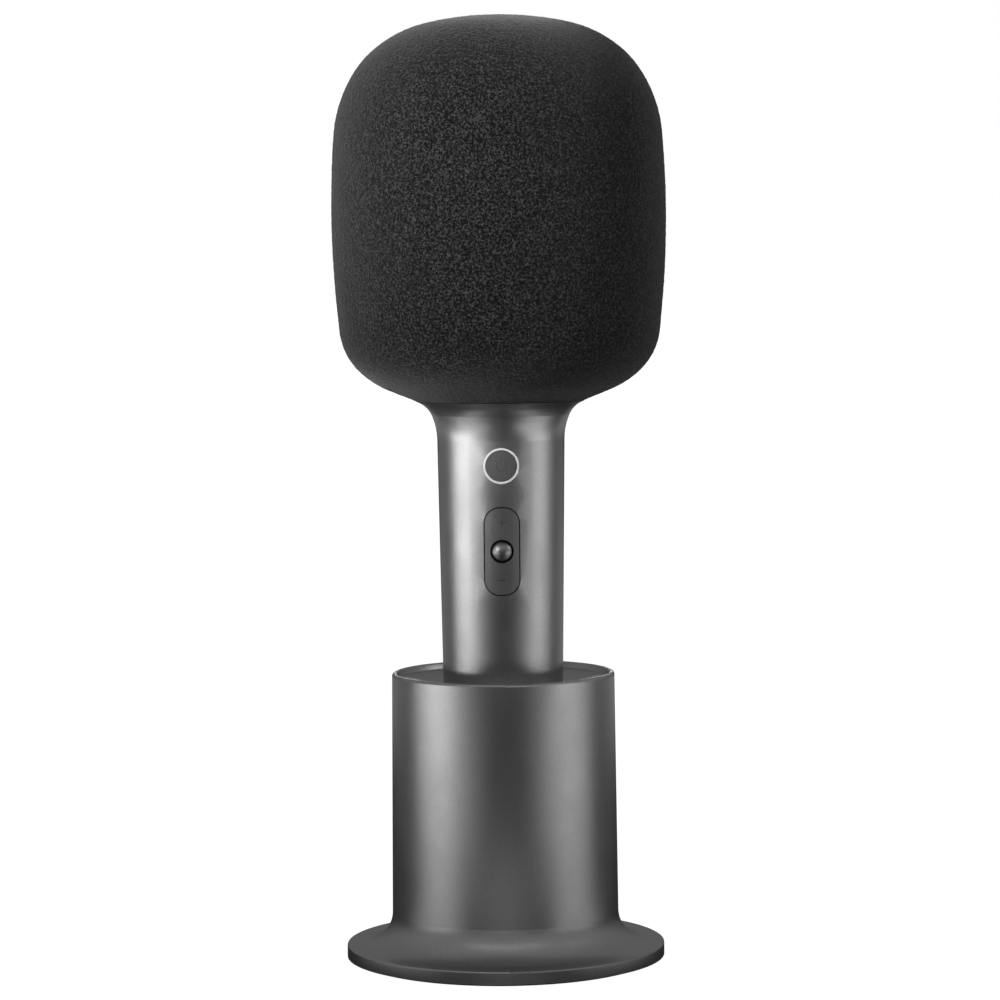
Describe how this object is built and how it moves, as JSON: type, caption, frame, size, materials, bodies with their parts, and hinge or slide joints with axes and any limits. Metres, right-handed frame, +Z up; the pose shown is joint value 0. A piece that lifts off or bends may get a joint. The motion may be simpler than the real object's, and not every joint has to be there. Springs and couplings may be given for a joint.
{
  "type": "karaoke microphone",
  "caption": "Upright cordless karaoke microphone with a large foam head, tapered handle with power, volume and mode keys, standing in a round weighted cup.",
  "frame": {"origin": "centre of the underside of the storage cup's foot, on the floor", "axes": "+Z up along the microphone's axis, -Y towards the front with the keys, +X to the right seen from the front"},
  "size_m": [0.089, 0.089, 0.2517],
  "materials": {
    "metallic_grey": "satin",
    "foam_black": "matte",
    "black_plastic": "matte",
    "key_grey": "matte",
    "clear_ring": "satin",
    "bright_metal": "gloss",
    "steel": "satin",
    "zinc_screw": "satin",
    "rubber_black": "matte",
    "felt_black": "matte",
    "cell_wrap": "satin",
    "nickel": "satin",
    "wire_black": "satin",
    "wire_red": "satin",
    "board_green": "satin",
    "chip_black": "matte",
    "can_aluminium": "satin",
    "plug_white": "satin",
    "silicone_grey": "matte",
    "lamp_white": "gloss",
    "frame_steel": "satin",
    "ferrite": "matte",
    "cone_paper": "matte",
    "coil_copper": "satin",
    "spider_cloth": "matte"
  },
  "bodies": {
    "stand": {"stand_shell": "metallic_grey", "cup_liner": "metallic_grey", "stand_base_plate": "black_plastic", "stand_foot_ring": "rubber_black", "stand_weight": "steel", "stand_screws": "zinc_screw", "cup_cushion": "rubber_black", "cup_guide_ring": "felt_black"},
    "microphone": {"handle_shell": "metallic_grey", "handle_end_cap": "black_plastic", "end_cap_screws": "zinc_screw", "usb_c_socket": "bright_metal", "usb_c_tongue": "chip_black", "io_board": "board_green", "inner_chassis": "black_plastic", "battery_cell": "cell_wrap", "battery_tabs": "nickel", "battery_leads": "wire_red", "main_board": "board_green", "board_screws": "zinc_screw", "board_chips": "chip_black", "board_capacitors": "can_aluminium", "lead_plugs": "plug_white", "button_board": "board_green", "tact_switches": "chip_black", "keypad_mat": "silicone_grey", "indicator_leds": "lamp_white", "button_bracket": "black_plastic", "power_light_ring": "clear_ring", "handle_collar": "black_plastic", "head_cage": "black_plastic", "cage_screws": "zinc_screw", "cage_cap": "black_plastic", "speaker_frame": "frame_steel", "speaker_gasket": "rubber_black", "speaker_screws": "zinc_screw", "speaker_yoke": "steel", "speaker_magnet": "ferrite", "speaker_top_plate": "steel", "speaker_surround": "rubber_black", "speaker_spider": "spider_cloth", "capsule_bracket": "black_plastic", "capsule_shock_mount": "rubber_black", "microphone_capsule": "steel", "speaker_lead": "wire_black", "capsule_lead": "wire_black"},
    "windscreen": {"foam_windscreen": "foam_black"},
    "power_button": {"power_button_cap": "key_grey"},
    "volume_rocker": {"volume_rocker_key": "metallic_grey"},
    "mode_button": {"mode_button_knob": "bright_metal"},
    "speaker_moving": {"speaker_cone": "cone_paper", "voice_coil": "coil_copper", "dust_cap": "cone_paper"}
  },
  "joints": [
    {"name": "microphone_lift", "type": "slide", "parent": "stand", "child": "microphone", "axis": [0, 0, 1], "range_m": [0, 0.08]},
    {"name": "windscreen_pull", "type": "slide", "parent": "microphone", "child": "windscreen", "axis": [0, 0, 1], "range_m": [0, 0.095]},
    {"name": "power_press", "type": "slide", "parent": "microphone", "child": "power_button", "axis": [0, 1, 0], "range_m": [0, 0.0004], "stiffness_N_per_m": 800},
    {"name": "volume_rock", "type": "hinge", "parent": "microphone", "child": "volume_rocker", "pos_m": [0, -0.0124, 0.1105], "axis": [1, 0, 0], "range_deg": [-2, 2], "stiffness_Nm_per_rad": 0.1},
    {"name": "mode_press", "type": "slide", "parent": "microphone", "child": "mode_button", "axis": [0, 1, 0], "range_m": [0, 0.0004], "stiffness_N_per_m": 800},
    {"name": "speaker_cone_travel", "type": "slide", "parent": "microphone", "child": "speaker_moving", "axis": [0, 0, 1], "range_m": [-0.001, 0.001], "stiffness_N_per_m": 1200}
  ]
}
